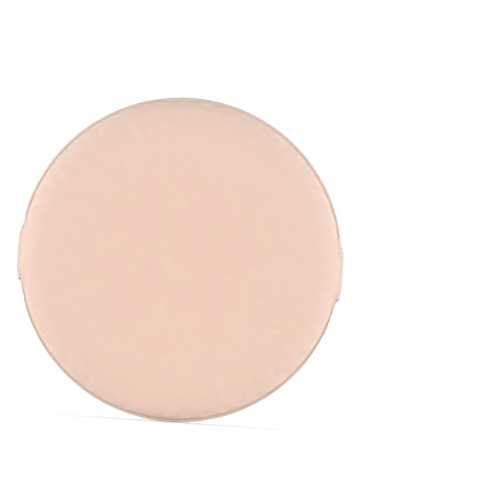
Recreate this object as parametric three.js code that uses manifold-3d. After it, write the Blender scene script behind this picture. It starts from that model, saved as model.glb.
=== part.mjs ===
// A cushion puff: a soft padded disc with an applicator face in front and a finger ribbon across its back.
// Millimetres. +Y is the disc's axis and points out of the back, X runs along the ribbon and Z is up.
// The origin is the middle of the back, where the fingers lie under the ribbon.
import * as THREE from "three";
import { mergeVertices } from "three/addons/utils/BufferGeometryUtils.js";
import Module from "manifold-3d";

// The disc, with heights counted from the middle plane of its welded seam
const rimRadius = 27.5;
const faceCrown = 5.2;
const backCrown = 3.5;
const crownFlatRadius = 4;

// How the two pillows stand on the welded rim
const faceRimWidth = 0.65;
const faceBulgeHeight = 1.8;
const faceTuck = 0.4;
const backRimWidth = 1.15;
const backBulgeHeight = 1.4;
const backTuck = 0.35;

// The layers
const skinThickness = 0.6;
const scrimThickness = 0.3;
const filmThickness = 0.15;
const coverThickness = 0.4;
const layerGap = 0.08;

// The welded seam
const flangeThickness = 0.3;
const beadWidth = 0.4;
const beadRound = 0.12;
const seamDepth = 1.6;
const seatGap = 0.3;

// The ribbon
const ribbonWidth = 10.6;
const ribbonThickness = 0.26;
const selvedgeWidth = 1.15;
const selvedgeThickness = 0.32;
const selvedgeGap = 0.05;
const ribbonReach = 0.1;
const ribbonBend = 2.1;
const ribbonBow = 0.5;
const ribbonRestGap = 0.25;
const ribbonDrop = 0.6;

// Shape numbers and counts
const pillowPower = 3;
const tuckSweep = Math.PI / 3;
const aroundSteps = 48;
const shoulderSteps = 8;
const tuckSteps = 2;
const bendSteps = 5;

// Sizes that follow from the ones above
const flangeRadius = rimRadius - beadWidth;
const seamHalf = ribbonThickness / 2 + layerGap;
const flangeTop = seamHalf + flangeThickness;
const seamInnerRadius = flangeRadius - seamDepth;
const ribbonEndX = rimRadius + ribbonReach - ribbonThickness / 2;
const ribbonTop = ribbonWidth / 2;
const scrimInset = skinThickness + layerGap;
const coreFaceInset = scrimInset + scrimThickness + layerGap;
const padInset = coverThickness + layerGap;
const filmTop = backBulgeHeight + filmThickness / 2;
const filmBottom = backBulgeHeight - filmThickness / 2;

const face = {
  crown: faceCrown,
  bulgeRadius: rimRadius - faceRimWidth,
  bulgeHeight: faceBulgeHeight,
  creaseRadius: rimRadius - faceRimWidth - faceTuck,
};
const back = {
  crown: backCrown,
  bulgeRadius: rimRadius - backRimWidth,
  bulgeHeight: backBulgeHeight,
  creaseRadius: rimRadius - backRimWidth - backTuck,
};
const coreBackRadius = back.creaseRadius - coverThickness - layerGap;

const wasm = await Module();
wasm.setup();

const materials = {
  skin: finish(0xf0ccbb, 0.62),
  scrim: finish(0xf3ece4, 0.9),
  foam: finish(0xf6eee0, 0.95),
  film: finish(0xdfe6ea, 0.35),
  cover: finish(0xf8eaf5, 0.7),
  weld: finish(0xd6baa8, 0.55),
  ribbon: finish(0xdfd4dc, 0.45),
  thread: finish(0xefe6ee, 0.5),
};

function finish(color, roughness) {
  return new THREE.MeshStandardMaterial({ color, roughness, metalness: 0 });
}

function piece(name, geometry, material) {
  const mesh = new THREE.Mesh(geometry, material);
  mesh.name = name;
  return mesh;
}

// The dome of a pillow, inset by the layers over it, from the axis out to its widest place.
function crownPoints(pillow, inset) {
  const top = pillow.crown - inset;
  const widest = pillow.bulgeRadius - inset;
  const points = [[0, top]];
  for (let i = 0; i <= shoulderSteps; i += 1) {
    const angle = ((Math.PI / 2) * i) / shoulderSteps;
    const out = Math.sin(angle) ** (2 / pillowPower);
    const up = i < shoulderSteps ? Math.cos(angle) ** (2 / pillowPower) : 0;
    points.push([
      crownFlatRadius + (widest - crownFlatRadius) * out,
      pillow.bulgeHeight + (top - pillow.bulgeHeight) * up,
    ]);
  }
  return points;
}

// The side below the widest place, drawn in to the crease beside the welded rim.
function tuckPoints(pillow, inset, endHeight) {
  const widest = pillow.bulgeRadius - inset;
  const crease = pillow.creaseRadius - inset;
  const points = [];
  for (let i = 1; i <= tuckSteps; i += 1) {
    const angle = (tuckSweep * i) / tuckSteps;
    const inward = (1 - Math.cos(angle)) / (1 - Math.cos(tuckSweep));
    const down = Math.sin(angle) / Math.sin(tuckSweep);
    points.push([
      widest - (widest - crease) * inward,
      pillow.bulgeHeight - (pillow.bulgeHeight - endHeight) * down,
    ]);
  }
  return points;
}

function pillowPoints(pillow, inset, endHeight) {
  return [...crownPoints(pillow, inset), ...tuckPoints(pillow, inset, endHeight)];
}

// Turns an outline of [radius, height] about Y. Points run from the outer pole to the inner one.
// Heights on the face side are given upwards from the seam, and point to -Y.
function turned(points, side) {
  const flat = points.map(([radius, height]) => new THREE.Vector2(radius, side * height));
  return new THREE.LatheGeometry(side < 0 ? flat : flat.reverse(), aroundSteps);
}

// A domed sheet with its rim flange.
function pillowShell(pillow, thickness, side) {
  return turned(
    [
      ...pillowPoints(pillow, 0, flangeTop),
      [flangeRadius, flangeTop],
      [flangeRadius, seamHalf],
      ...pillowPoints(pillow, thickness, seamHalf).reverse(),
    ],
    side,
  );
}

// The base fabric that the face skin is laid on, which ends above the seam.
function scrimSheet() {
  const endHeight = seamHalf + layerGap;
  return turned(
    [
      ...pillowPoints(face, scrimInset, endHeight),
      ...pillowPoints(face, scrimInset + scrimThickness, endHeight).reverse(),
    ],
    -1,
  );
}

// The foam body: domed to the face, narrowed where the ribbon ends are caught, and flat at the film.
function coreBody() {
  const waist = seamInnerRadius - seatGap;
  const top = filmBottom - layerGap;
  return turned(
    [
      ...pillowPoints(face, coreFaceInset, flangeTop),
      [waist, seamHalf],
      [waist, -seamHalf],
      [coreBackRadius, -flangeTop],
      [coreBackRadius, -top],
      [0, -top],
    ],
    -1,
  );
}

function filmDisc() {
  return turned(
    [
      [0, filmTop],
      [coreBackRadius, filmTop],
      [coreBackRadius, filmBottom],
      [0, filmBottom],
    ],
    1,
  );
}

// The part of an outline above a level, ended where it crosses that level.
function pointsAbove(points, level) {
  const kept = points.filter(([, height]) => height > level);
  const [radius, height] = kept.at(-1);
  const [nextRadius, nextHeight] = points[kept.length];
  const share = (height - level) / (height - nextHeight);
  return [...kept, [radius + (nextRadius - radius) * share, level]];
}

// The thin foam under the back cover: its dome is cut flat over the film.
function backPadBody() {
  const underside = filmTop + layerGap;
  return turned([...pointsAbove(crownPoints(back, padInset), underside), [0, underside]], 1);
}

function solidOf(geometry) {
  const plain = geometry.clone();
  plain.deleteAttribute("normal");
  plain.deleteAttribute("uv");
  const merged = mergeVertices(plain);
  return new wasm.Manifold(
    new wasm.Mesh({
      numProp: 3,
      vertProperties: merged.attributes.position.array,
      triVerts: new Uint32Array(merged.index.array),
    }),
  );
}

function geometryOf(solid) {
  const mesh = solid.getMesh();
  const geometry = new THREE.BufferGeometry();
  geometry.setAttribute("position", new THREE.BufferAttribute(mesh.vertProperties, mesh.numProp));
  geometry.setIndex(new THREE.BufferAttribute(mesh.triVerts, 1));
  geometry.computeVertexNormals();
  return geometry;
}

// The fused edge of the seam: a tongue between the two flanges and a rounded bead round the cut edge.
function weldRing() {
  const tongueHalf = ribbonThickness / 2;
  const headInner = flangeRadius + layerGap;
  const roundRadius = rimRadius - beadRound;
  const roundHeight = flangeTop - beadRound;
  const upperHalf = [
    [rimRadius, roundHeight],
    [roundRadius, flangeTop],
    [headInner, flangeTop],
    [headInner, tongueHalf],
    [seamInnerRadius, tongueHalf],
  ];
  const lowerHalf = upperHalf.map(([radius, height]) => [radius, -height]).reverse();
  const outline = [...lowerHalf, ...upperHalf, lowerHalf[0]];
  const points = outline.map(([radius, height]) => new THREE.Vector2(radius, height));
  return solidOf(new THREE.LatheGeometry(points, aroundSteps));
}

// One of the two arcs of the ring that the ribbon leaves: side 1 is above it and -1 below.
function weldArc(side) {
  const overrun = rimRadius;
  const start = ribbonTop + seatGap - side * ribbonDrop;
  const height = rimRadius + overrun - start;
  const box = new THREE.BoxGeometry(2 * (rimRadius + overrun), 2 * overrun, height);
  box.translate(0, 0, side * (start + height / 2));
  return geometryOf(weldRing().intersect(solidOf(box)));
}

// The ribbon's run seen from above: a slight bow over the back, a bend each side and a drop to the seam.
function ribbonRun() {
  const middle = backCrown + ribbonRestGap + ribbonThickness / 2;
  const endHeight = ribbonThickness / 2 + layerGap;
  const bendRoom = middle - ribbonBow - endHeight;
  const bend = Math.min(ribbonBend, bendRoom);
  const bendX = ribbonEndX - bend;
  const bowAngle = 2 * Math.atan(ribbonBow / bendX);
  const bowRadius = bend + bendX / Math.sin(bowAngle);
  const bendHeight = middle - bowRadius + (bowRadius - bend) * Math.cos(bowAngle);
  return { middle, endHeight, bend, bendX, bowAngle, bowRadius, bendHeight };
}

// A strip of the ribbon: its side outline drawn round the run, then given its width along Z.
function ribbonStrip(thickness, width, centreZ) {
  const run = ribbonRun();
  const bowCentre = run.middle - run.bowRadius;
  const quarter = Math.PI / 2;
  const half = thickness / 2;
  const shape = new THREE.Shape();
  shape.moveTo(ribbonEndX + half, run.endHeight);
  shape.absarc(run.bendX, run.bendHeight, run.bend + half, 0, quarter - run.bowAngle, false);
  shape.absarc(0, bowCentre, run.bowRadius + half, quarter - run.bowAngle, quarter + run.bowAngle, false);
  shape.absarc(-run.bendX, run.bendHeight, run.bend + half, quarter + run.bowAngle, Math.PI, false);
  shape.lineTo(-ribbonEndX - half, run.endHeight);
  shape.lineTo(-ribbonEndX + half, run.endHeight);
  shape.absarc(-run.bendX, run.bendHeight, run.bend - half, Math.PI, quarter + run.bowAngle, true);
  shape.absarc(0, bowCentre, run.bowRadius - half, quarter + run.bowAngle, quarter - run.bowAngle, true);
  shape.absarc(run.bendX, run.bendHeight, run.bend - half, quarter - run.bowAngle, 0, true);
  shape.lineTo(ribbonEndX - half, run.endHeight);
  const settings = { depth: width, bevelEnabled: false, curveSegments: bendSteps };
  return new THREE.ExtrudeGeometry(shape, settings).translate(0, 0, centreZ - width / 2);
}

// The end of the ribbon that the seam holds, rounded where it turns up into the loop.
function ribbonEnd(side) {
  const half = ribbonThickness / 2;
  const shape = new THREE.Shape();
  shape.moveTo(seamInnerRadius, -half);
  shape.lineTo(ribbonEndX - half, -half);
  shape.absarc(ribbonEndX - half, half, ribbonThickness, -Math.PI / 2, 0, false);
  shape.lineTo(seamInnerRadius, half);
  const settings = { depth: ribbonWidth, bevelEnabled: false, curveSegments: tuckSteps };
  const geometry = new THREE.ExtrudeGeometry(shape, settings).translate(0, 0, -ribbonTop);
  return side > 0 ? geometry : mirrored(geometry);
}

// The same solid on the other side of X, with its faces still pointing out.
function mirrored(geometry) {
  const flipped = geometry.clone().scale(-1, 1, 1);
  const position = flipped.attributes.position;
  for (let i = 0; i < position.count; i += 3) {
    const first = new THREE.Vector3().fromBufferAttribute(position, i);
    const last = new THREE.Vector3().fromBufferAttribute(position, i + 2);
    position.setXYZ(i, ...last.toArray());
    position.setXYZ(i + 2, ...first.toArray());
  }
  flipped.computeVertexNormals();
  return flipped;
}

const disc = new THREE.Group();
disc.add(
  piece("face_skin", pillowShell(face, skinThickness, -1), materials.skin),
  piece("skin_scrim", scrimSheet(), materials.scrim),
  piece("foam_core", coreBody(), materials.foam),
  piece("barrier_film", filmDisc(), materials.film),
  piece("back_pad", backPadBody(), materials.foam),
  piece("back_cover", pillowShell(back, coverThickness, 1), materials.cover),
  piece("rim_weld_upper", weldArc(1), materials.weld),
  piece("rim_weld_lower", weldArc(-1), materials.weld),
);

const ribbon = new THREE.Group();
const bandWidth = ribbonWidth - 2 * (selvedgeWidth + selvedgeGap);
const selvedgeZ = (ribbonWidth - selvedgeWidth) / 2;
const selvedge = (side) => ribbonStrip(selvedgeThickness, selvedgeWidth, side * selvedgeZ);
ribbon.position.z = -ribbonDrop;
ribbon.add(
  piece("ribbon_band", ribbonStrip(ribbonThickness, bandWidth, 0), materials.ribbon),
  piece("ribbon_selvedge_upper", selvedge(1), materials.thread),
  piece("ribbon_selvedge_lower", selvedge(-1), materials.thread),
  piece("ribbon_end_right", ribbonEnd(1), materials.ribbon),
  piece("ribbon_end_left", ribbonEnd(-1), materials.ribbon),
);

const puff = new THREE.Group();
puff.position.y = -backCrown;
puff.add(disc, ribbon);

export default puff;
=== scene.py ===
"""A cushion puff seen square on from its applicator face, on a plain pale floor.

Metres. +Y is the disc's axis and points out of the back, X runs along the ribbon and Z is up.
A place on the disc is given by its distance from the axis, its height from the middle plane of the
welded seam (towards the face or towards the back) and its angle, which starts at +X and grows to +Z.
"""

import math

import bmesh
import bpy
import numpy as np
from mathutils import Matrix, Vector, noise


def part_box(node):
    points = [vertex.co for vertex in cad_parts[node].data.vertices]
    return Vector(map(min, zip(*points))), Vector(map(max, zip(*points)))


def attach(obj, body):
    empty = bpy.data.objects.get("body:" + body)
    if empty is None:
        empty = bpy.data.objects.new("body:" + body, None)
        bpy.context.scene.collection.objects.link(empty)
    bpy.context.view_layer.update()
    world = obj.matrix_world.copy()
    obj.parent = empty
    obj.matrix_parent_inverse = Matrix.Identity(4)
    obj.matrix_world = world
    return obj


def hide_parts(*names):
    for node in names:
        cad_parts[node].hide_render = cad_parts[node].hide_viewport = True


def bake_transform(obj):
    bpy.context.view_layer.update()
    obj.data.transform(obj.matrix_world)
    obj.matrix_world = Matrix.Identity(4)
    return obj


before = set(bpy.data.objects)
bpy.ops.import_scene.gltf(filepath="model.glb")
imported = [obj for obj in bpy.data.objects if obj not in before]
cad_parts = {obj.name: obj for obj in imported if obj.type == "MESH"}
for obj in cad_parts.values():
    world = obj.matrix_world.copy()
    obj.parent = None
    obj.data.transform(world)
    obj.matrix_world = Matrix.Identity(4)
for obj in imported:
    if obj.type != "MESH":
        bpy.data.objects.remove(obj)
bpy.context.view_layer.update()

MM = 0.001
PHOTO_SIDE = 500
SEED = 7

# Sizes of the disc, read from the frame
weld_low, weld_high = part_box("rim_weld_upper")
skin_low, skin_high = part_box("face_skin")
cover_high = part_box("back_cover")[1]
band_low, band_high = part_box("ribbon_band")
selvedge_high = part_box("ribbon_selvedge_upper")[1]
tail_low, tail_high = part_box("ribbon_end_right")

RIM_RADIUS = weld_high.z
SEAM_Y = (weld_low.y + weld_high.y) / 2
FLANGE_TOP = (weld_high.y - weld_low.y) / 2
FLANGE_RADIUS = skin_high.x
SEAM_HALF = SEAM_Y - skin_high.y
FACE_CROWN = SEAM_Y - skin_low.y
BACK_CROWN = cover_high.y - SEAM_Y
SEAM_INNER_RADIUS = tail_low.x

# The two pillows: a flat middle, a dome, a bulge at the side, and the tuck under it down to a crease
FLAT_RADIUS = 4 * MM
FACE = {
    "side": -1,
    "flatness": 5,
    "roundness": 2,
    "crown": FACE_CROWN,
    "bulge_radius": RIM_RADIUS - 0.53 * MM,
    "bulge_height": 1.8 * MM,
    "crease_radius": RIM_RADIUS - 1.0 * MM,
}
BACK = {
    "side": 1,
    "flatness": 3.5,
    "roundness": 2.5,
    "crown": BACK_CROWN,
    "bulge_radius": RIM_RADIUS - 1.15 * MM,
    "bulge_height": 1.4 * MM,
    "crease_radius": RIM_RADIUS - 1.3 * MM,
}
TUCK_SWEEP = math.radians(60)
CLOUD_HEIGHT = 0.045 * MM
GRAIN_HEIGHT = 0.012 * MM
PUCKER_COUNT = 46
PUCKER_DEPTH = 0.018 * MM
BLOWN_SCALE = 10
BLOWN_LIMIT = 0.22 * MM
BLOWN_FRAMES = 20

# The layers
SKIN_THICKNESS = 0.6 * MM
SCRIM_THICKNESS = 0.3 * MM
FILM_THICKNESS = 0.15 * MM
COVER_THICKNESS = 0.4 * MM
LAYER_GAP = 0.08 * MM
CORE_CLEARANCE = 0.3 * MM

# The welded bead: its inner radius, its height behind as a share of that in front, and the cut line round it
BEAD_RADIUS = FLANGE_RADIUS + 0.04 * MM
BACK_BEAD = 0.78
BEAD_BEVEL = 0.03 * MM
BEAD_ROUNDING = 0.55
CUT_LINE_HALF = 0.06 * MM
CUT_LINE_DEPTH = 0.03 * MM
WELD_WAVE = 0.02 * MM
WELD_SWELL = 0.03 * MM

# The rim is drawn in a little beside the ribbon: how far, at what distance and over what width
RIM_PULL = 0.14 * MM
PULL_PLACE = 0.6 * MM
PULL_WIDTH = 2.2 * MM

# The ribbon
RIBBON_MIDDLE = (band_low.z + band_high.z) / 2
RIBBON_HALF = selvedge_high.z - RIBBON_MIDDLE
BAND_HALF = (band_high.z - band_low.z) / 2
RIBBON_THICKNESS = tail_high.y - tail_low.y
RIBBON_END_X = band_high.x - RIBBON_THICKNESS / 2
RIBBON_TOP = band_high.y - SEAM_Y - RIBBON_THICKNESS / 2
RIBBON_BOW = 0.5 * MM
SEAM_TURN = 0.16 * MM
DROP_TURN = 1.2 * MM
CREASE_TURN = 0.4 * MM
CREASE_X = 25.4 * MM
SLANT = math.radians(40)
END_PINCH = 1.0 * MM
PINCH_START = 0.6 * MM
PINCH_END = 2.3 * MM
CORNER_ROUNDING = 0.36 * MM
SURFACE_WAVE = 0.045 * MM
SURFACE_CUP = 0.05 * MM
STRIP_BEVEL = 0.05 * MM
SELVEDGE_THICKNESS = 0.24 * MM
SELVEDGE_OVERLAP = 0.1 * MM
SCALLOP = 0.04 * MM
STITCH_PITCH = 0.86 * MM
THREAD_RADIUS = 0.1 * MM

# The face's skin where it runs out over the ribbon: full as far as the first width, and none past the
# second at its edge, with a wider fade further up
LIP_FLAT = 3.0 * MM
LIP_HALF = RIBBON_HALF - END_PINCH + 0.45 * MM
LIP_FLARE = 5 * MM
LIP_PRESS = 0.06 * MM
LIP_RUN = 5
LIP_BEND = 0.8
LIP_CLOSER = (0.0, 0.33 * MM, 0.16 * MM)
WELD_START = RIBBON_HALF - END_PINCH + 0.12 * MM

# Mesh counts
AROUND = 192
LATTICE_RINGS = AROUND // 8
LATTICE_RADIUS = 21 * MM
SHOULDER_STEPS = 12
TUCK_STEPS = 4
FLANGE_SHARES = (0.3, 0.65, 0.93, 1.0)
INNER_AROUND = 128
BEAD_STEPS = 8
WELD_STEPS = 150
BAND_COLUMNS, SELVEDGE_COLUMNS = 26, 5


def colour(red, green, blue):
    """A colour of the photograph, 0 to 255 a channel, as Blender's linear colour."""
    shares = [channel / 255 for channel in (red, green, blue)]
    return (*[s / 12.92 if s <= 0.04045 else ((s + 0.055) / 1.055) ** 2.4 for s in shares], 1)


# Node trees


class Graph:
    """Adds nodes to a tree and joins them. A value is a number, a colour or another node's output."""

    def __init__(self, tree):
        self.tree = tree

    def feed(self, socket, value):
        if isinstance(value, bpy.types.NodeSocket):
            self.tree.links.new(value, socket)
        else:
            socket.default_value = value

    def add(self, kind, values=None, **settings):
        made = self.tree.nodes.new(kind)
        for name, setting in settings.items():
            setattr(made, name, setting)
        for name, value in (values or {}).items():
            self.feed(made.inputs[name], value)
        return made

    def math(self, operation, *values):
        made = self.add("ShaderNodeMath", operation=operation)
        for socket, value in zip(made.inputs, values):
            self.feed(socket, value)
        return made.outputs[0]

    def step(self, value, low, high, start=0.0, end=1.0):
        """A smooth step from start, where value is low, to end, where it is high."""
        places = {"Value": value, "From Min": low, "From Max": high, "To Min": start, "To Max": end}
        return self.add("ShaderNodeMapRange", places, interpolation_type="SMOOTHSTEP").outputs[0]

    def tint(self, share, first, second):
        """The first colour where share is 0, and the second where it is 1."""
        made = self.add("ShaderNodeMix", data_type="RGBA")
        for socket, value in zip((made.inputs[0], made.inputs[6], made.inputs[7]), (share, first, second)):
            self.feed(socket, value)
        return made.outputs[2]

    def split(self, vector):
        return self.add("ShaderNodeSeparateXYZ", {"Vector": vector}).outputs

    def vector(self, x, y, z):
        return self.add("ShaderNodeCombineXYZ", {"X": x, "Y": y, "Z": z}).outputs[0]

    def noise(self, vector, scale, detail=2.0, roughness=0.5):
        values = {"Vector": vector, "Scale": scale, "Detail": detail, "Roughness": roughness}
        return self.add("ShaderNodeTexNoise", values).outputs["Fac"]

    def group(self, tree, values):
        made = self.add("ShaderNodeGroup", node_tree=tree)
        for name, value in values.items():
            self.feed(made.inputs[name], value)
        return made.outputs

    def bump(self, height, distance, strength=1.0, normal=None):
        made = self.add("ShaderNodeBump", {"Height": height, "Distance": distance, "Strength": strength})
        if normal is not None:
            self.feed(made.inputs["Normal"], normal)
        return made.outputs[0]


def new_group(name, inputs, outputs):
    """An empty shader node group: its graph, its inputs by name, and the node that takes its outputs."""
    tree = bpy.data.node_groups.new(name, "ShaderNodeTree")
    for label, value in inputs.items():
        kind = "NodeSocketVector" if value is None else "NodeSocketFloat"
        socket = tree.interface.new_socket(label, in_out="INPUT", socket_type=kind)
        if value is not None:
            socket.default_value = value
    for label in outputs:
        tree.interface.new_socket(label, in_out="OUTPUT", socket_type="NodeSocketFloat")
    graph = Graph(tree)
    return graph, graph.add("NodeGroupInput").outputs, graph.add("NodeGroupOutput")


def disc_zones_group():
    """How far out a point lies, and whether it is on the pressed rim and in the ribbon's span."""
    sizes = {"Vector": None, "Press Height": 0.55 * MM, "Press Fade": 0.3 * MM}
    graph, given, out = new_group("disc_zones", sizes, ("Outward", "Pressed", "Span"))
    x, y, z = graph.split(given["Vector"])
    reach = graph.math("SQRT", graph.math("ADD", graph.math("POWER", x, 2.0), graph.math("POWER", z, 2.0)))
    height = graph.math("ABSOLUTE", graph.math("SUBTRACT", y, SEAM_Y))
    press_end = graph.math("ADD", given["Press Height"], given["Press Fade"])
    across = graph.math("ABSOLUTE", graph.math("SUBTRACT", z, RIBBON_MIDDLE))
    graph.feed(out.inputs["Outward"], graph.math("DIVIDE", reach, RIM_RADIUS))
    graph.feed(out.inputs["Pressed"], graph.step(height, given["Press Height"], press_end, 1.0, 0.0))
    span_start, span_end = RIBBON_HALF + 0.2 * MM, RIBBON_HALF + 1.4 * MM
    graph.feed(out.inputs["Span"], graph.step(across, span_start, span_end, 1.0, 0.0))
    return graph.tree


def mottle_group():
    """Soft cloudy patches and finer speckles."""
    sizes = {"Vector": None, "Patch Scale": 180.0, "Speckle Scale": 900.0}
    graph, given, out = new_group("soft_mottle", sizes, ("Patches", "Speckles"))
    patches = graph.noise(given["Vector"], given["Patch Scale"], 3.0, 0.55)
    speckles = graph.noise(given["Vector"], given["Speckle Scale"], 2.0, 0.6)
    graph.feed(out.inputs["Patches"], graph.step(patches, 0.32, 0.68))
    graph.feed(out.inputs["Speckles"], graph.step(speckles, 0.3, 0.7))
    return graph.tree


def pores_group():
    """Fine open pores, as in a coagulated foam skin."""
    sizes = {"Vector": None, "Pore Scale": 3200.0}
    graph, given, out = new_group("fine_pores", sizes, ("Height",))
    cells = graph.add("ShaderNodeTexVoronoi", {"Vector": given["Vector"], "Scale": given["Pore Scale"]})
    pits = graph.step(cells.outputs["Distance"], 0.05, 0.45)
    ripple = graph.noise(given["Vector"], given["Pore Scale"], 2.0)
    graph.feed(out.inputs["Height"], graph.math("ADD", pits, graph.math("MULTIPLY", ripple, 0.6)))
    return graph.tree


def weave_group():
    """Crossing yarns on the X and Y of the vector, one over the other in turn."""
    sizes = {"Vector": None, "Pitch": 0.4 * MM, "Looseness": 0.25}
    graph, given, out = new_group("woven_yarns", sizes, ("Height",))
    turn = graph.math("DIVIDE", 2 * math.pi, given["Pitch"])
    drift = graph.math("SUBTRACT", graph.noise(given["Vector"], 700.0, 2.0), 0.5)
    shift = graph.math("MULTIPLY", graph.math("MULTIPLY", drift, given["Looseness"]), 6.0)
    u, v, _ = graph.split(given["Vector"])
    waves = [graph.math("SINE", graph.math("MULTIPLY_ADD", axis, turn, shift)) for axis in (u, v)]
    product = graph.math("MULTIPLY", *waves)
    graph.feed(out.inputs["Height"], graph.math("MULTIPLY_ADD", product, 0.5, 0.5))
    return graph.tree


ZONES = disc_zones_group()
MOTTLE = mottle_group()
PORES = pores_group()
WEAVE = weave_group()


# Materials


def new_material(name, **values):
    """A material with one Principled shader; values that are the same all over go on its own sockets."""
    material = bpy.data.materials.new(name)
    material.use_nodes = True
    shader = material.node_tree.nodes["Principled BSDF"]
    for label, value in values.items():
        shader.inputs[label.replace("_", " ")].default_value = value
    graph = Graph(material.node_tree)
    place = graph.add("ShaderNodeTexCoord").outputs["Object"]
    return material, graph, shader, place


def face_skin_material():
    material, graph, shader, place = new_material("skin", Sheen_Weight=0.12, Sheen_Roughness=0.45)
    zones = graph.group(ZONES, {"Vector": place})
    mottle = graph.group(MOTTLE, {"Vector": place, "Patch Scale": 240.0, "Speckle Scale": 1100.0})
    middle = graph.tint(mottle["Patches"], colour(241, 207, 185), colour(243, 202, 185))
    outer = graph.tint(mottle["Patches"], colour(239, 208, 187), colour(241, 206, 188))
    # Painted sheen: the skin is paler and less saturated towards the rim, most in the edge tint, where its
    # slope catches the side light.
    base = graph.tint(graph.step(zones["Outward"], 0.35, 0.8), middle, outer)
    speckle = graph.tint(graph.math("MULTIPLY", mottle["Speckles"], 0.10), base, colour(228, 190, 170))
    edge = graph.tint(graph.step(zones["Outward"], 0.84, 0.96), speckle, colour(241, 211, 195))
    # Painted highlight: a lighter band round the shoulder just inside the rim, brightest away from the ribbon.
    span_highlight_tone = graph.tint(zones["Span"], colour(250, 223, 205), colour(243, 214, 198))
    ridge_highlight = graph.tint(graph.step(zones["Outward"], 0.95, 0.97), edge, span_highlight_tone)
    tan = graph.tint(mottle["Patches"], colour(223, 200, 184), colour(230, 208, 192))
    covered = graph.math("MULTIPLY", zones["Pressed"], graph.math("SUBTRACT", 1.0, zones["Span"]))
    pressed = graph.tint(covered, ridge_highlight, tan)
    beside = graph.math("MULTIPLY", zones["Pressed"], zones["Span"])
    graph.feed(shader.inputs["Base Color"], graph.tint(beside, pressed, colour(243, 218, 206)))
    graph.feed(shader.inputs["Roughness"], graph.step(zones["Pressed"], 0.0, 1.0, 0.62, 0.46))
    pores = graph.group(PORES, {"Vector": place})["Height"]
    soft = graph.bump(mottle["Patches"], 0.02 * MM, 0.6)
    graph.feed(shader.inputs["Normal"], graph.bump(pores, 0.012 * MM, 0.7, soft))
    return material


def back_cover_material():
    material, graph, shader, place = new_material("cover", Sheen_Weight=0.15, Sheen_Roughness=0.5)
    zones = graph.group(ZONES, {"Vector": place, "Press Height": 0.5 * MM})
    mottle = graph.group(MOTTLE, {"Vector": place, "Patch Scale": 200.0})
    x, _, z = graph.split(place)
    knit = graph.group(WEAVE, {"Vector": graph.vector(x, z, 0.0), "Pitch": 0.46 * MM})
    field = graph.tint(mottle["Patches"], colour(252, 239, 250), colour(253, 243, 252))
    yarns = graph.tint(graph.math("MULTIPLY", knit["Height"], 0.18), field, colour(242, 228, 240))
    # Painted shade: the cover turns greyer towards the shoulder, where the pillow falls to the pressed rim.
    shoulder = graph.tint(graph.step(zones["Outward"], 0.89, 0.95), yarns, colour(240, 233, 239))
    graph.feed(shader.inputs["Base Color"], graph.tint(zones["Pressed"], shoulder, colour(233, 227, 231)))
    graph.feed(shader.inputs["Roughness"], graph.step(zones["Pressed"], 0.0, 1.0, 0.75, 0.5))
    loose = graph.step(zones["Outward"], 0.92, 0.95, 1.0, 0.1)
    height = graph.math("MULTIPLY", knit["Height"], loose)
    soft = graph.bump(mottle["Patches"], 0.03 * MM, 0.6)
    graph.feed(shader.inputs["Normal"], graph.bump(height, 0.02 * MM, 0.8, soft))
    return material


def weld_material():
    """Fused edge: the skin's tan in front and the cover's pale grey behind, with the cut line between them."""
    material, graph, shader, place = new_material("weld")
    mottle = graph.group(MOTTLE, {"Vector": place, "Patch Scale": 350.0, "Speckle Scale": 1500.0})
    y = graph.split(place)[1]
    ragged = graph.math("MULTIPLY", graph.math("SUBTRACT", mottle["Speckles"], 0.5), 0.12 * MM)
    level = graph.math("ADD", y, ragged)
    behind = graph.step(level, SEAM_Y - 0.04 * MM, SEAM_Y + 0.1 * MM)
    tan = graph.tint(mottle["Patches"], colour(213, 193, 179), colour(222, 203, 190))
    faded = graph.tint(graph.group(ZONES, {"Vector": place})["Span"], tan, colour(240, 222, 210))
    pale = graph.tint(mottle["Patches"], colour(236, 231, 235), colour(243, 238, 242))
    graph.feed(shader.inputs["Base Color"], graph.tint(behind, faded, pale))
    graph.feed(shader.inputs["Roughness"], graph.step(mottle["Speckles"], 0.0, 1.0, 0.42, 0.56))
    graph.feed(shader.inputs["Normal"], graph.bump(mottle["Speckles"], 0.01 * MM, 0.4))
    return material


def ribbon_vector(graph):
    """The ribbon's own coordinates: along its run, and across it."""
    return graph.add("ShaderNodeUVMap", uv_map="run").outputs[0]


def crease_highlight(graph, run, flat, bent_highlight, turned):
    """The ribbon's colour along its run: the flat colour, a painted highlight past the crease, and a slightly
    dimmer painted highlight on the turn into the seam.
    """
    out = graph.math("ABSOLUTE", graph.split(run)[0])
    slant_highlighted = graph.tint(graph.step(out, CREASE_X - 0.25 * MM, CREASE_X + 0.45 * MM), flat, bent_highlight)
    return graph.tint(graph.step(out, CREASE_X + 2.5 * MM, CREASE_X + 2.9 * MM), slant_highlighted, turned)


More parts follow.
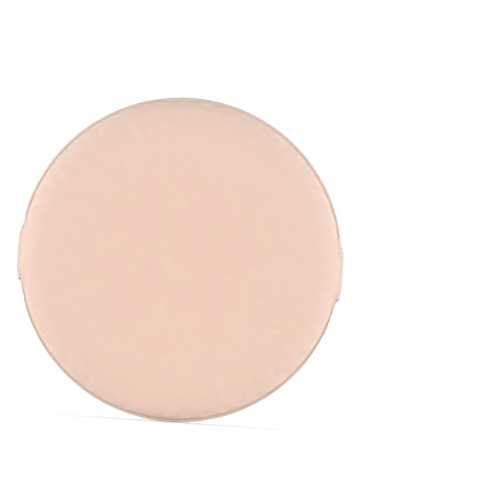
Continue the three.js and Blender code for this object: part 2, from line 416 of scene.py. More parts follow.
def satin_material():
    material, graph, shader, _ = new_material("satin", Sheen_Weight=0.1, Sheen_Roughness=0.3)
    run = ribbon_vector(graph)
    along, across, _ = graph.split(run)
    stretched = graph.vector(graph.math("MULTIPLY", along, 700.0), graph.math("MULTIPLY", across, 9000.0), 0.0)
    lines = graph.step(graph.noise(stretched, 1.0), 0.3, 0.7)
    mottle = graph.group(MOTTLE, {"Vector": run, "Patch Scale": 260.0, "Speckle Scale": 1200.0})
    cloud = graph.tint(mottle["Patches"], colour(210, 198, 207), colour(216, 204, 213))
    # Lighter float lines: the satin's weave, partly painted sheen.
    lines_with_sheen = graph.tint(graph.math("MULTIPLY", lines, 0.35), cloud, colour(225, 215, 223))
    # Painted shade: the satin darkens from about 17 mm out towards the crease.
    fold_shade_share = graph.step(graph.math("ABSOLUTE", along), 17 * MM, 23 * MM, 0.0, 0.6)
    fold_shaded = graph.tint(fold_shade_share, lines_with_sheen, colour(208, 198, 208))
    # Painted highlight where the satin bends over the crease and turns down into the seam.
    base = crease_highlight(graph, run, fold_shaded, colour(235, 228, 235), colour(229, 223, 229))
    graph.feed(shader.inputs["Base Color"], base)
    graph.feed(shader.inputs["Roughness"], graph.step(lines, 0.0, 1.0, 0.38, 0.5))
    graph.feed(shader.inputs["Normal"], graph.bump(lines, 0.012 * MM, 0.7))
    return material


def selvedge_material():
    material, graph, shader, _ = new_material("selvedge_tape", Roughness=0.68)
    run = ribbon_vector(graph)
    weave = graph.group(WEAVE, {"Vector": run, "Pitch": 0.3 * MM})
    flat = graph.tint(weave["Height"], colour(226, 215, 225), colour(238, 229, 236))
    # Painted highlight where the selvedge bends over the crease and turns down into the seam.
    base = crease_highlight(graph, run, flat, colour(239, 232, 239), colour(232, 226, 232))
    graph.feed(shader.inputs["Base Color"], base)
    graph.feed(shader.inputs["Normal"], graph.bump(weave["Height"], 0.03 * MM, 0.8))
    return material


def thread_material():
    material, graph, shader, place = new_material("thread", Sheen_Weight=0.2)
    mottle = graph.group(MOTTLE, {"Vector": place, "Speckle Scale": 5000.0})
    fibre = graph.tint(mottle["Speckles"], colour(240, 228, 237), colour(250, 242, 248))
    graph.feed(shader.inputs["Base Color"], fibre)
    graph.feed(shader.inputs["Roughness"], graph.step(mottle["Speckles"], 0.0, 1.0, 0.45, 0.6))
    graph.feed(shader.inputs["Normal"], graph.bump(mottle["Speckles"], 0.02 * MM, 0.6))
    return material


def foam_material():
    material, graph, shader, place = new_material("foam", Roughness=0.95)
    mottle = graph.group(MOTTLE, {"Vector": place})
    cells = graph.group(PORES, {"Vector": place, "Pore Scale": 1800.0})["Height"]
    base = graph.tint(mottle["Patches"], colour(246, 238, 224), colour(249, 243, 233))
    graph.feed(shader.inputs["Base Color"], base)
    graph.feed(shader.inputs["Normal"], graph.bump(cells, 0.1 * MM, 0.9))
    return material


def scrim_material():
    material, graph, shader, place = new_material("scrim", Roughness=0.9)
    x, _, z = graph.split(place)
    weave = graph.group(WEAVE, {"Vector": graph.vector(x, z, 0.0), "Pitch": 0.6 * MM})
    base = graph.tint(weave["Height"], colour(232, 224, 214), colour(245, 239, 231))
    graph.feed(shader.inputs["Base Color"], base)
    graph.feed(shader.inputs["Normal"], graph.bump(weave["Height"], 0.05 * MM, 0.9))
    return material


def film_material():
    material, graph, shader, place = new_material("film")
    mottle = graph.group(MOTTLE, {"Vector": place, "Patch Scale": 120.0})
    base = graph.tint(mottle["Patches"], colour(220, 228, 233), colour(228, 234, 238))
    graph.feed(shader.inputs["Base Color"], base)
    graph.feed(shader.inputs["Roughness"], graph.step(mottle["Patches"], 0.0, 1.0, 0.3, 0.4))
    return material


SKIN = face_skin_material()
COVER = back_cover_material()
WELD = weld_material()
SATIN = satin_material()
SELVEDGE = selvedge_material()
THREAD = thread_material()
FOAM = foam_material()
SCRIM = scrim_material()
FILM = film_material()


# Mesh helpers


def new_object(name, points, faces, material, edges=()):
    mesh = bpy.data.meshes.new(name)
    mesh.from_pydata([tuple(point) for point in points], list(edges), faces)
    if material:
        mesh.materials.append(material)
    mesh.polygons.foreach_set("use_smooth", [True] * len(mesh.polygons))
    made = bpy.data.objects.new(name, mesh)
    bpy.context.scene.collection.objects.link(made)
    return made


def finished(piece):
    """Applies the modifiers, so that the piece is a plain mesh."""
    bpy.context.view_layer.update()
    graph = bpy.context.evaluated_depsgraph_get()
    mesh = bpy.data.meshes.new_from_object(piece.evaluated_get(graph))
    piece.modifiers.clear()
    old = piece.data
    piece.data = mesh
    bpy.data.meshes.remove(old)
    mesh.name = piece.name
    return piece


def outward(piece):
    """Turns all faces of a closed piece outwards."""
    work = bmesh.new()
    work.from_mesh(piece.data)
    bmesh.ops.recalc_face_normals(work, faces=work.faces)
    work.to_mesh(piece.data)
    work.free()
    return piece


def subdivided(piece):
    smooth = piece.modifiers.new("smooth", "SUBSURF")
    smooth.levels = smooth.render_levels = 1
    return finished(piece)


def place_points(reach, height, angle, side):
    """Points of the disc from distance, height and angle, as rows of x, y, z."""
    rows = np.broadcast_arrays(reach * np.cos(angle), SEAM_Y + side * height, reach * np.sin(angle))
    return np.column_stack(rows)


# The outlines of the pillows


def dome_point(pillow, inset, out, up):
    """out and up are the shares of the way to the widest place and back up to the crown."""
    widest = pillow["bulge_radius"] - inset
    rise = pillow["crown"] - inset - pillow["bulge_height"]
    return FLAT_RADIUS + (widest - FLAT_RADIUS) * out, pillow["bulge_height"] + rise * up


def dome_points(pillow, inset):
    """The dome's outline: even steps as far as the lattice goes, then steps round the shoulder."""
    flatness, roundness = pillow["flatness"], pillow["roundness"]
    points = []
    for ring in range(LATTICE_RINGS + 1):
        reach = LATTICE_RADIUS * ring / LATTICE_RINGS
        out = max(0.0, (reach - FLAT_RADIUS) / (pillow["bulge_radius"] - FLAT_RADIUS))
        far, height = dome_point(pillow, inset, out, (1 - out**flatness) ** (1 / roundness))
        points.append((far if out > 0 else reach, height))
    start = math.asin(out ** (flatness / 2))
    for step in range(1, SHOULDER_STEPS + 1):
        angle = start + (math.pi / 2 - start) * step / SHOULDER_STEPS
        up = max(0.0, math.cos(angle)) ** (2 / roundness)
        points.append(dome_point(pillow, inset, math.sin(angle) ** (2 / flatness), up))
    return points


def tuck_points(pillow, inset, end_height):
    """The side drawn in under the bulge, down to the crease."""
    widest = pillow["bulge_radius"] - inset
    crease = pillow["crease_radius"] - inset
    points = []
    for step in range(1, TUCK_STEPS + 1):
        angle = TUCK_SWEEP * step / TUCK_STEPS
        inward = (1 - math.cos(angle)) / (1 - math.cos(TUCK_SWEEP))
        down = math.sin(angle) / math.sin(TUCK_SWEEP)
        drop = (pillow["bulge_height"] - end_height) * down
        points.append((widest - (widest - crease) * inward, pillow["bulge_height"] - drop))
    return points


def flange_points(start, height):
    return [(start + (BEAD_RADIUS - start) * share, height) for share in FLANGE_SHARES]


def shell_outline(pillow, inset, end_height):
    points = dome_points(pillow, inset) + tuck_points(pillow, inset, end_height)
    return np.array(points + flange_points(points[-1][0], end_height))


# The cage of a pillow: a square lattice in the middle and rings round it


def ring_place(i, j):
    """The ring that a lattice point lies on, and its place round that ring."""
    ring = max(abs(i), abs(j))
    if ring == 0:
        return 0, 0
    if i == ring:
        return ring, j % (8 * ring)
    if j == ring:
        return ring, 2 * ring - i
    if i == -ring:
        return ring, 4 * ring - j
    return ring, 6 * ring + i


def cage_layout(stations):
    """For each point of the cage its station on the outline and its angle, and the cage's faces."""
    index, station, angle = {}, [], []

    def point(ring, place):
        key = (ring, place)
        if key not in index:
            index[key] = len(station)
            station.append(ring)
            turns = place / (8 * ring) if 0 < ring <= LATTICE_RINGS else place / AROUND
            angle.append(2 * math.pi * turns)
        return index[key]

    span = range(-LATTICE_RINGS, LATTICE_RINGS)
    faces = []
    for i in span:
        for j in span:
            corners = ((i, j), (i + 1, j), (i + 1, j + 1), (i, j + 1))
            faces.append([point(*ring_place(*corner)) for corner in corners])
    for ring in range(LATTICE_RINGS, stations - 1):
        for place in range(AROUND):
            after = (place + 1) % AROUND
            corners = ((ring, place), (ring + 1, place), (ring + 1, after), (ring, after))
            faces.append([point(*corner) for corner in corners])
    rim = [index[stations - 1, place] for place in range(AROUND)]
    return np.array(station), np.array(angle), faces, rim


STATIONS = LATTICE_RINGS + 1 + SHOULDER_STEPS + TUCK_STEPS + len(FLANGE_SHARES)
STATION, ANGLE, CAGE_FACES, CAGE_RIM = cage_layout(STATIONS)
WIDEST_STATION = LATTICE_RINGS + SHOULDER_STEPS
CREASE_STATION = WIDEST_STATION + TUCK_STEPS


def rim_pull(z):
    """How far the rim is drawn in where the ribbon enters the seam."""
    away = (np.abs(z - RIBBON_MIDDLE) - RIBBON_HALF - PULL_PLACE) / PULL_WIDTH
    return -RIM_PULL * np.exp(-away * away)


def rolled_out(outline, points, radial):
    """Where the ribbon leaves the seam, the face's skin runs out over it in one curve instead of tucking in.
    Gives how far both walls move for that, and how far the inner one goes on to lie on the ribbon's turn."""
    start = WIDEST_STATION - LIP_RUN
    share = np.clip((STATION - start) / (STATIONS - 1 - start), 0, 1)
    first, bend, last = (1 - share) ** 2, 2 * share * (1 - share), share**2
    leave = outline[np.argmax(STATION == start)]
    sideways = np.abs(np.cos(ANGLE))
    end = (RIBBON_END_X + RIBBON_THICKNESS / 2) / np.maximum(sideways, 0.5)
    reach = first * leave[0] + bend * FACE["bulge_radius"] + last * end
    height = first * leave[1] + bend * LIP_BEND * leave[1] + last * (FLANGE_TOP - LIP_PRESS)
    fade = LIP_HALF - LIP_FLAT + LIP_FLARE * (1 - share) ** 2
    fall = np.clip((np.abs(points[:, 2] - RIBBON_MIDDLE) - LIP_FLAT) / fade, 0, 1)
    gain = (1 - fall * fall * (3 - 2 * fall)) * (share > 0) * (sideways > 0.5)
    back = np.array([0.0, 1.0, 0.0])
    moved = radial * (reach - outline[:, 0])[:, None] + back * (outline[:, 1] - height)[:, None]
    closer = np.interp(STATION, [STATIONS - 3, STATIONS - 2, STATIONS - 1], LIP_CLOSER)
    return moved * gain[:, None], back * (closer * gain)[:, None]


def uneven(points, seed):
    """Slight unevenness of hand-cut foam and a welded seam, along the outline's height."""
    cloud = [noise.noise(Vector((p[0], p[2], seed * MM)) * 130) for p in points]
    fine = [noise.noise(Vector((p[0], p[2], seed * 2 * MM)) * 420) for p in points]
    return CLOUD_HEIGHT * np.array(cloud) + GRAIN_HEIGHT * np.array(fine)


def puckers(angle, seed):
    """Irregular small gathers round the seam."""
    chance = np.random.default_rng(seed)
    total = np.zeros_like(angle)
    for _ in range(5):
        count = round(PUCKER_COUNT * chance.uniform(0.6, 1.4))
        total += chance.uniform(0.4, 1.0) * np.sin(count * angle + chance.uniform(0, 2 * math.pi))
    return PUCKER_DEPTH * total / 3


def inflated(points, faces, held):
    """Blows the skin up as cloth, at several times its size, and gives how far each point moved."""
    work = new_object("blown", points * BLOWN_SCALE, faces, None)
    group = work.vertex_groups.new(name="held")
    for number, weight in enumerate(held):
        group.add([number], float(weight), "REPLACE")
    cloth = work.modifiers.new("cloth", "CLOTH")
    settings = cloth.settings
    settings.quality = 6
    settings.mass = 0.3
    settings.tension_stiffness = settings.compression_stiffness = 20
    settings.bending_stiffness = 0.4
    settings.vertex_group_mass = "held"
    settings.pin_stiffness = 1.0
    settings.shrink_min = -0.012
    settings.use_pressure = True
    settings.uniform_pressure_force = 4
    settings.effector_weights.gravity = 0
    cloth.point_cache.frame_start = 1
    cloth.point_cache.frame_end = BLOWN_FRAMES
    for number in range(1, BLOWN_FRAMES + 1):
        bpy.context.scene.frame_set(number)
    graph = bpy.context.evaluated_depsgraph_get()
    shape = work.evaluated_get(graph).to_mesh()
    found = np.zeros(len(points) * 3)
    shape.vertices.foreach_get("co", found)
    moved = found.reshape(-1, 3) / BLOWN_SCALE - points
    mesh = work.data
    bpy.data.objects.remove(work)
    bpy.data.meshes.remove(mesh)
    bpy.context.scene.frame_set(1)
    return moved


def pillow_shell(name, pillow, thickness, material, seed):
    """One padded skin: its outer and inner walls with the same unevenness, closed at the rim."""
    side = pillow["side"]
    outer = shell_outline(pillow, 0.0, FLANGE_TOP)[STATION]
    inner = shell_outline(pillow, thickness, SEAM_HALF)[STATION]
    outside = place_points(outer[:, 0], outer[:, 1], ANGLE, side)
    inside = place_points(inner[:, 0], inner[:, 1], ANGLE, side)
    faces = CAGE_FACES if side < 0 else [face[::-1] for face in CAGE_FACES]

    soft = np.clip((CREASE_STATION - STATION) / 6, 0, 1)
    moved = np.zeros_like(outside)
    moved[:, 1] += side * soft * uneven(outside, seed)
    radial = np.column_stack([np.cos(ANGLE), np.zeros_like(ANGLE), np.sin(ANGLE)])
    shoulder = np.exp(-(((STATION - CREASE_STATION + 3) / 4.0) ** 2))
    moved += radial * (shoulder * puckers(ANGLE, seed))[:, None]
    rim = np.clip((STATION - CREASE_STATION + 1) / 2, 0, 1)
    moved += radial * (rim * rim_pull(outside[:, 2]))[:, None]
    held = np.where(STATION >= CREASE_STATION - 1, 1.0, 0.25)
    blown = inflated(outside + moved, faces, held)
    length = np.linalg.norm(blown, axis=1)
    moved += blown * np.minimum(1, BLOWN_LIMIT / np.maximum(length, 1e-9))[:, None]
    closer = 0.0
    if side < 0:
        rolled, closer = rolled_out(outer, outside, radial)
        moved += rolled

    count = len(STATION)
    points = np.vstack([outside + moved, inside + moved + closer])
    closing = []
    for first, second in zip(CAGE_RIM, CAGE_RIM[1:] + CAGE_RIM[:1]):
        strip = [first, first + count, second + count, second]
        closing.append(strip if side < 0 else strip[::-1])
    back_faces = [[number + count for number in face[::-1]] for face in faces]
    piece = new_object(name, points, faces + back_faces + closing, material)
    return subdivided(piece)


# Turned pieces inside the puff


def turned(name, outline, side, material):
    """A closed solid turned about the disc's axis, from an outline that starts and ends on the axis."""
    angles = np.linspace(0, 2 * math.pi, INNER_AROUND, endpoint=False)
    rings = [place_points(reach, height, angles, side) for reach, height in outline[1:-1]]
    poles = [(0, SEAM_Y + side * outline[0][1], 0), (0, SEAM_Y + side * outline[-1][1], 0)]
    points = [poles[0], *[point for ring in rings for point in ring], poles[1]]
    last = len(points) - 1
    faces = []
    for place in range(INNER_AROUND):
        after = (place + 1) % INNER_AROUND
        faces.append([0, 1 + place, 1 + after])
        for ring in range(len(rings) - 1):
            low, high = 1 + ring * INNER_AROUND, 1 + (ring + 1) * INNER_AROUND
            faces.append([low + place, high + place, high + after, low + after])
        top = 1 + (len(rings) - 1) * INNER_AROUND
        faces.append([top + place, last, top + after])
    return outward(new_object(name, points, faces, material))


def inner_points(pillow, inset, end_height):
    return dome_points(pillow, inset)[::2] + tuck_points(pillow, inset, end_height)


def scrim_piece():
    inset = SKIN_THICKNESS + LAYER_GAP
    end = SEAM_HALF + LAYER_GAP
    top = inner_points(FACE, inset, end)
    under = inner_points(FACE, inset + SCRIM_THICKNESS, end)
    return turned("scrim_backing", top + under[::-1], -1, SCRIM)


def core_piece():
    inset = SKIN_THICKNESS + SCRIM_THICKNESS + 2 * LAYER_GAP
    waist = SEAM_INNER_RADIUS - CORE_CLEARANCE
    behind = BACK["crease_radius"] - COVER_THICKNESS - LAYER_GAP
    top = BACK["bulge_height"] - FILM_THICKNESS / 2 - LAYER_GAP
    points = inner_points(FACE, inset, FLANGE_TOP)
    points += [(waist, SEAM_HALF), (waist, -SEAM_HALF), (behind, -FLANGE_TOP), (behind, -top), (0, -top)]
    return turned("foam_body", points, -1, FOAM)


def film_piece():
    reach = BACK["crease_radius"] - COVER_THICKNESS - LAYER_GAP
    top = BACK["bulge_height"] + FILM_THICKNESS / 2
    bottom = BACK["bulge_height"] - FILM_THICKNESS / 2
    return turned("film_layer", [(0, top), (reach, top), (reach, bottom), (0, bottom)], 1, FILM)


def pad_piece():
    floor = BACK["bulge_height"] + FILM_THICKNESS / 2 + LAYER_GAP
    dome = [point for point in dome_points(BACK, COVER_THICKNESS + LAYER_GAP) if point[1] > floor]
    points = dome + [(dome[-1][0], floor), (0, floor)]
    return turned("pad_under_cover", points, 1, FOAM)


# The welded rim


def weld_section():
    """The fused edge's outline: a tongue in the seam and a rounded bead with a cut line round it."""
    tongue = RIBBON_THICKNESS / 2
    points = [
        (SEAM_INNER_RADIUS, tongue),
        (BEAD_RADIUS, tongue),
        (BEAD_RADIUS, FLANGE_TOP - BEAD_BEVEL),
        (BEAD_RADIUS + BEAD_BEVEL, FLANGE_TOP),
    ]
    for step in range(1, BEAD_STEPS):
        angle = math.radians(90 * (1 - step / BEAD_STEPS))
        reach = RIM_RADIUS - (RIM_RADIUS - BEAD_RADIUS) * BEAD_ROUNDING * (1 - math.cos(angle))
        points.append((reach, CUT_LINE_HALF + (FLANGE_TOP - CUT_LINE_HALF) * math.sin(angle)))
    points.append((RIM_RADIUS - CUT_LINE_DEPTH, 0.0))
    return points + [(reach, -BACK_BEAD * height) for reach, height in points[-2::-1]]


def swept_faces(size, count):
    """The faces of a closed tube of count sections with size points each, with both its ends."""
    faces = [list(range(size)), list(range((count - 1) * size, count * size))]
    for step in range(count - 1):
        for number in range(size):
            after = (number + 1) % size
            low, high = step * size, (step + 1) * size
            faces.append([low + number, high + number, high + after, low + after])
    return faces


def weld_arc(name, level):
    """The rim above or below the ribbon: swept round from a level on the right to that level on the left."""
    section = weld_section()
    side = 1 if level > 0 else -1
    points = []
    for step in range(WELD_STEPS + 1):
        for reach, height in section:
            end = math.asin(level / reach)
            start, stop = (end, math.pi - end) if side > 0 else (math.pi - end, 2 * math.pi + end)
            angle = start + (stop - start) * step / WELD_STEPS
            share = max(0.0, (reach - BEAD_RADIUS) / (RIM_RADIUS - BEAD_RADIUS))
            wave = WELD_WAVE * noise.noise(Vector((math.cos(angle), math.sin(angle), SEED)) * 9)
            swell = WELD_SWELL * noise.noise(Vector((math.cos(angle), math.sin(angle), -SEED)) * 14)
            pull = rim_pull(np.array([reach * math.sin(angle)]))[0]
            far = reach + wave * share + (pull if reach >= BEAD_RADIUS else 0.0)
            rise = height * (1 + share * swell / FLANGE_TOP)
            points.append((far * math.cos(angle), SEAM_Y - rise, far * math.sin(angle)))
    return outward(new_object(name, points, swept_faces(len(section), WELD_STEPS + 1), WELD))


# The ribbon


def ribbon_run():
    """The ribbon's middle line on the right half: rows of x, height, heading and distance from the middle.
    The heading is 0 straight up out of the seam, and a quarter turn over the back towards the middle."""
    quarter = math.pi / 2
    lean = 2 * math.atan(RIBBON_BOW / CREASE_X)
    last = quarter - lean
    drop_x, drop_y = DROP_TURN * (1 - math.cos(SLANT)), DROP_TURN * math.sin(SLANT)
    fold_x = CREASE_TURN * (math.cos(SLANT) - math.cos(last))
    fold_y = CREASE_TURN * (math.sin(last) - math.sin(SLANT))
    slant = (RIBBON_END_X - CREASE_X - drop_x - fold_x) / math.sin(SLANT)
    rise = RIBBON_TOP - RIBBON_BOW - SEAM_TURN - drop_y - fold_y - slant * math.cos(SLANT)
    tail = RIBBON_END_X - SEAM_TURN - SEAM_INNER_RADIUS
    parts = [
        (tail, 0.0, 6),
        (SEAM_TURN * quarter, quarter, 6),
        (rise, 0.0, 3),
        (DROP_TURN * SLANT, SLANT, 9),
        (slant, 0.0, 6),
        (CREASE_TURN * (last - SLANT), last - SLANT, 6),
        (CREASE_X / math.cos(last) * lean, lean, 90),
    ]
    x, height, heading, length = SEAM_INNER_RADIUS, 0.0, -quarter, 0.0
    rows = [(x, height, heading, length)]
    for distance, turn, steps in parts:
        for _ in range(steps):
            heading += turn / steps / 2
            x -= math.sin(heading) * distance / steps
            height += math.cos(heading) * distance / steps
            heading += turn / steps / 2
            length += distance / steps
            rows.append((x, height, heading, length))
    rows[-1] = (0.0, height, quarter, length)
    return [(x, height, heading, length - start) for x, height, heading, start in rows[::-1]]


RUN = ribbon_run()


def pinch(height):
    """How much narrower each side of the ribbon is at a height over the seam."""
    share = min(1.0, max(0.0, (height - PINCH_START) / (PINCH_END - PINCH_START)))
    return END_PINCH * (1 - share * share * (3 - 2 * share))


def ripple(along, across):
    """The soft unevenness of the ribbon's surface."""
    wave = noise.noise(Vector((along * 110, across * 160, SEED)))
    return SURFACE_WAVE * wave - SURFACE_CUP * (across / RIBBON_HALF) ** 2


def run_point(row, across, offset, side):
    """A point of the ribbon: at a row of its run, at a place across it, and off its middle surface."""
    x, height, heading, away = row
    ease = min(1.0, max(0.0, height / (RIBBON_TOP * 0.5)))
    off = offset + ease * ripple(side * away, across)
    rounding = CORNER_ROUNDING * (1 - height / RIBBON_TOP) * (across / (RIBBON_HALF - pinch(height))) ** 8
    return (
        side * (x - rounding + off * math.cos(heading)),
        SEAM_Y + height + off * math.sin(heading),
        RIBBON_MIDDLE + across,
    )


def strip_section(low, high, thickness, columns):
    """A flat strip's outline with round edges: shares of its width and offsets from its middle surface."""
    half = thickness / 2
    bevel = STRIP_BEVEL / (high - low)
    shares = [0.0, bevel * 0.3, bevel]
    shares += [bevel + (1 - 2 * bevel) * step / columns for step in range(1, columns)]
    shares += [1 - bevel, 1 - bevel * 0.3, 1.0]
    tops = []
    for share in shares:
        inset = max(0.0, 1 - min(share, 1 - share) / bevel)
        tops.append((share, half * math.sqrt(max(0.0, 1 - inset * inset))))
    return tops + [(share, -offset) for share, offset in tops[-2:0:-1]]


def ribbon_strip(name, low, high, thickness, columns, side, material, scallop=0.0):
    """A strip of the ribbon between two places across it, closed at the seam and at the middle."""
    section = strip_section(low, high, thickness, columns)
    points, marks = [], []
    for row in RUN:
        narrow = 1 - pinch(row[1]) / RIBBON_HALF
        wave = scallop * math.cos(2 * math.pi * row[3] / STITCH_PITCH) if row[3] < CREASE_X else 0.0
        for share, offset in section:
            across = (low + (high - low) * share) * narrow
            if abs(across) > abs(RIBBON_HALF * narrow) * 0.985:
                across += math.copysign(wave, across)
            points.append(run_point(row, across, offset, side))
            marks.append((side * row[3], across))
    piece = outward(new_object(name, points, swept_faces(len(section), len(RUN)), material))
    piece.data.set_sharp_from_angle(angle=math.radians(70))
    layer = piece.data.uv_layers.new(name="run")
    for loop in piece.data.loops:
        layer.data[loop.index].uv = marks[loop.vertex_index]
    return piece


def zigzag_tree():
    """Geometry nodes that sew a zigzag thread along each line of the mesh that they are given."""
    tree = bpy.data.node_groups.new("zigzag_thread", "GeometryNodeTree")
    tree.is_modifier = True
    tree.interface.new_socket("Geometry", in_out="INPUT", socket_type="NodeSocketGeometry")
    for label in ("Stitch", "Reach", "Thread Radius"):
        tree.interface.new_socket(label, in_out="INPUT", socket_type="NodeSocketFloat")
    tree.interface.new_socket("Thread", in_out="INPUT", socket_type="NodeSocketMaterial")
    tree.interface.new_socket("Geometry", in_out="OUTPUT", socket_type="NodeSocketGeometry")
    graph = Graph(tree)
    given = graph.add("NodeGroupInput").outputs
    line = graph.add("GeometryNodeMeshToCurve", {"Mesh": given["Geometry"]}).outputs[0]
    resample = graph.add("GeometryNodeResampleCurve", {"Curve": line}, mode="LENGTH")
    graph.feed(resample.inputs["Length"], graph.math("MULTIPLY", given["Stitch"], 0.5))
    index = graph.add("GeometryNodeSplineParameter").outputs["Index"]
    parity = graph.math("MULTIPLY_ADD", graph.math("MODULO", index, 2.0), 2.0, -1.0)
    shift = graph.vector(0.0, 0.0, graph.math("MULTIPLY", parity, given["Reach"]))
    moved = graph.add("GeometryNodeSetPosition", {"Geometry": resample.outputs[0], "Offset": shift})
    typed = graph.add("GeometryNodeCurveSplineType", {"Curve": moved.outputs[0]}, spline_type="CATMULL_ROM")
    smooth = graph.add("GeometryNodeSetSplineResolution", {"Geometry": typed.outputs[0], "Resolution": 5})
    ring = graph.add("GeometryNodeCurvePrimitiveCircle", {"Resolution": 7, "Radius": given["Thread Radius"]})
    tube = graph.add("GeometryNodeCurveToMesh", {"Curve": smooth.outputs[0], "Profile Curve": ring.outputs[0]})
    tube.inputs["Fill Caps"].default_value = True
    shaded = graph.add("GeometryNodeSetShadeSmooth", {"Geometry": tube.outputs[0]})
    real = graph.add("GeometryNodeRealizeInstances", {"Geometry": shaded.outputs[0]})
    finish = {"Geometry": real.outputs[0], "Material": given["Thread"]}
    sewn = graph.add("GeometryNodeSetMaterial", finish)
    graph.feed(graph.add("NodeGroupOutput").inputs[0], sewn.outputs[0])
    return tree


ZIGZAG = zigzag_tree()


def sewn_thread(name, edge, side, offset):
    """The zigzag threads on the outer and inner faces of one selvedge, as far as the crease."""
    points, edges = [], []
    middle = (RIBBON_HALF + BAND_HALF) / 2 + 0.03 * MM
    for away in (offset, -offset):
        rows = [row for row in RUN if row[3] < CREASE_X]
        for number, row in enumerate(rows):
            narrow = 1 - pinch(row[1]) / RIBBON_HALF
            points.append(run_point(row, edge * middle * narrow, away, side))
            if number:
                edges.append((len(points) - 2, len(points) - 1))
    piece = new_object(name, points, [], None, edges)
    sew = piece.modifiers.new("sew", "NODES")
    sew.node_group = ZIGZAG
    sockets = {item.name: item.identifier for item in ZIGZAG.interface.items_tree if item.in_out == "INPUT"}
    sew[sockets["Stitch"]] = STITCH_PITCH
    sew[sockets["Reach"]] = (RIBBON_HALF - BAND_HALF) / 2 - 0.05 * MM
    sew[sockets["Thread Radius"]] = THREAD_RADIUS
    sew[sockets["Thread"]] = THREAD
    return finished(piece)


def joined(piece, other):
    """Adds another piece's faces to a piece, each keeping its own material."""
    with bpy.context.temp_override(active_object=piece, selected_editable_objects=[piece, other]):
        bpy.ops.object.join()
    return piece


def selvedge_piece(edge, side, label):
    """One looped edge of half the ribbon: its tape and the zigzag threads on it."""
    low, high = sorted((edge * (BAND_HALF - SELVEDGE_OVERLAP), edge * RIBBON_HALF))
    columns = SELVEDGE_COLUMNS
    tape = ribbon_strip(label, low, high, SELVEDGE_THICKNESS, columns, side, SELVEDGE, SCALLOP)
    thread = sewn_thread(label + "_thread", edge, side, SELVEDGE_THICKNESS / 2 + THREAD_RADIUS * 0.6)
    return joined(tape, thread)


def add_ribbon():
    """Both halves of the ribbon, each a satin band with its two selvedges, in place of the plain solids."""
    for side, hand in ((1, "right"), (-1, "left")):
        name, columns = f"ribbon_{hand}", BAND_COLUMNS
        band = ribbon_strip(name, -BAND_HALF, BAND_HALF, RIBBON_THICKNESS, columns, side, SATIN)
        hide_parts("ribbon_band", f"ribbon_end_{hand}")
        strips = [band]
        for edge, height in ((1, "upper"), (-1, "lower")):
            strip = selvedge_piece(edge, side, f"selvedge_{height}_{hand}")
            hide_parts(f"ribbon_selvedge_{height}")
            strips.append(strip)
        for strip in strips:
            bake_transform(strip)


def add_disc():
    """The pillows, what they hold and the welded rim, each in place of its plain solid."""
    face = pillow_shell("face_cushion", FACE, SKIN_THICKNESS, SKIN, SEED)
    back = pillow_shell("back_cushion", BACK, COVER_THICKNESS, COVER, SEED + 4)
    core, pad = core_piece(), pad_piece()
    upper = weld_arc("rim_edge_upper", RIBBON_MIDDLE + WELD_START)
    lower = weld_arc("rim_edge_lower", RIBBON_MIDDLE - WELD_START)
    rows = (
        (face, "face_skin", "face_skin"),
        (scrim_piece(), "skin_scrim", "scrim"),
        (core, "foam_core", "foam"),
        (film_piece(), "barrier_film", "film"),
        (pad, "back_pad", "foam"),
        (back, "back_cover", "back_cover"),
        (upper, "rim_weld_upper", "rim_weld"),
        (lower, "rim_weld_lower", "rim_weld"),
    )
    for piece, node, slot in rows:
        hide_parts(node)
        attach(piece, "puff")


# The studio

PUFF_PIXEL_X, PUFF_PIXEL_Y = 180.4, 259.9
PUFF_LEAN = math.radians(3.9)
VIEW_WIDTH = 84.77 * MM
LENS_MM, SENSOR_MM = 300, 36
AMBIENT = 0.2
CONTACT_SHADOW = 0.5
CONTACT_REACH = 12 * MM
FLOOR_HALF = 3.0

# Each softbox: its name, its place, its width and height in metres, and its power in watts
SOFTBOXES = (
    ("front_softbox", (0, -1.4, 0.09), 1.0, 0.22, 12.9),
    ("back_softbox", (0, 1.4, 0.09), 1.0, 0.22, 12.9),
    ("right_softbox", (1.4, 0, 0.09), 0.9, 0.22, 9.2),
    ("left_softbox", (-1.4, 0, 0.09), 0.9, 0.22, 9.2),
    ("top_softbox", (0, 0, 1.4), 1.0, 1.0, 1.2),
)


def add_camera():
    """Square on to the face, with the puff left of the picture's middle and its ribbon leaning to the right."""
    camera = bpy.data.objects.new("camera", bpy.data.cameras.new("camera"))
    bpy.context.scene.collection.objects.link(camera)
    camera.data.lens = LENS_MM
    camera.data.sensor_width = SENSOR_MM
    camera.data.clip_start = 0.01
    camera.data.clip_end = 20
    pixel = VIEW_WIDTH / PHOTO_SIDE
    distance = LENS_MM / SENSOR_MM * VIEW_WIDTH
    right = Vector((math.cos(PUFF_LEAN), 0, math.sin(PUFF_LEAN)))
    up = Vector((-math.sin(PUFF_LEAN), 0, math.cos(PUFF_LEAN)))
    across = (PHOTO_SIDE / 2 - PUFF_PIXEL_X) * pixel
    rise = (PUFF_PIXEL_Y - PHOTO_SIDE / 2) * pixel
    camera.location = Vector((0, SEAM_Y - distance, 0)) + right * across + up * rise
    camera.rotation_euler = (math.pi / 2, -PUFF_LEAN, 0)
    bpy.context.scene.camera = camera


def add_softbox(name, place, width, height, power):
    """A large lamp that faces the puff."""
    lamp = bpy.data.lights.new(name, "AREA")
    lamp.shape = "RECTANGLE"
    lamp.size, lamp.size_y, lamp.energy = width, height, power
    made = bpy.data.objects.new(name, lamp)
    bpy.context.scene.collection.objects.link(made)
    made.location = place
    made.rotation_euler = (-Vector(place)).to_track_quat("-Z", "Y").to_euler()
    made.visible_camera = False


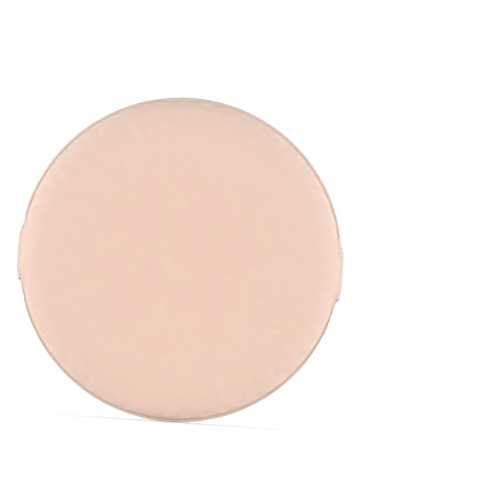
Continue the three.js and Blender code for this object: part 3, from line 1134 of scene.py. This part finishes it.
def seen_share(graph):
    """1 for rays of the camera, a gloss or a see-through surface, and 0 for light that is scattered."""
    path = graph.add("ShaderNodeLightPath").outputs
    seen = graph.math("MAXIMUM", path["Is Camera Ray"], path["Is Glossy Ray"])
    return graph.math("MAXIMUM", seen, path["Is Transmission Ray"])


def add_world():
    world = bpy.data.worlds.new("studio")
    bpy.context.scene.world = world
    world.use_nodes = True
    graph = Graph(world.node_tree)
    background = world.node_tree.nodes["Background"]
    level = graph.math("MULTIPLY_ADD", seen_share(graph), 1 - AMBIENT, AMBIENT)
    graph.feed(background.inputs["Strength"], level)
    background.inputs["Color"].default_value = (1, 1, 1, 1)


def add_floor():
    """A pale floor under the rim: white to the camera, except in the puff's shadow."""
    turns = ((-1, -1), (1, -1), (1, 1), (-1, 1))
    corners = [(x * FLOOR_HALF, y * FLOOR_HALF, -RIM_RADIUS) for x, y in turns]
    material = bpy.data.materials.new("floor")
    material.use_nodes = True
    graph = Graph(material.node_tree)
    material.node_tree.nodes.remove(material.node_tree.nodes["Principled BSDF"])
    matte = graph.add("ShaderNodeBsdfDiffuse", {"Color": colour(214, 214, 216)})
    glow = graph.add("ShaderNodeEmission", {"Color": (1, 1, 1, 1)})
    place = graph.add("ShaderNodeTexCoord").outputs["Object"]
    away = graph.add("ShaderNodeVectorMath", {"Vector": place}, operation="LENGTH").outputs["Value"]
    level = graph.step(away, 0.1, 0.6, 0.75, 0.95)
    # Painted shadow: ambient occlusion darkens the floor's glow where the puff touches it.
    open_share = graph.add("ShaderNodeAmbientOcclusion", {"Distance": CONTACT_REACH}).outputs["AO"]
    contact = graph.math("MULTIPLY_ADD", open_share, CONTACT_SHADOW, 1 - CONTACT_SHADOW)
    shaded = graph.math("MULTIPLY", level, contact)
    graph.feed(glow.inputs["Strength"], graph.math("MULTIPLY", seen_share(graph), shaded))
    both = graph.add("ShaderNodeAddShader")
    graph.feed(both.inputs[0], matte.outputs[0])
    graph.feed(both.inputs[1], glow.outputs[0])
    graph.feed(material.node_tree.nodes["Material Output"].inputs["Surface"], both.outputs[0])
    new_object("floor", corners, [[0, 1, 2, 3]], material)


def add_studio():
    bpy.context.scene.view_settings.view_transform = "Standard"
    add_camera()
    add_world()
    add_floor()
    for softbox in SOFTBOXES:
        add_softbox(*softbox)


add_disc()
add_ribbon()
add_studio()
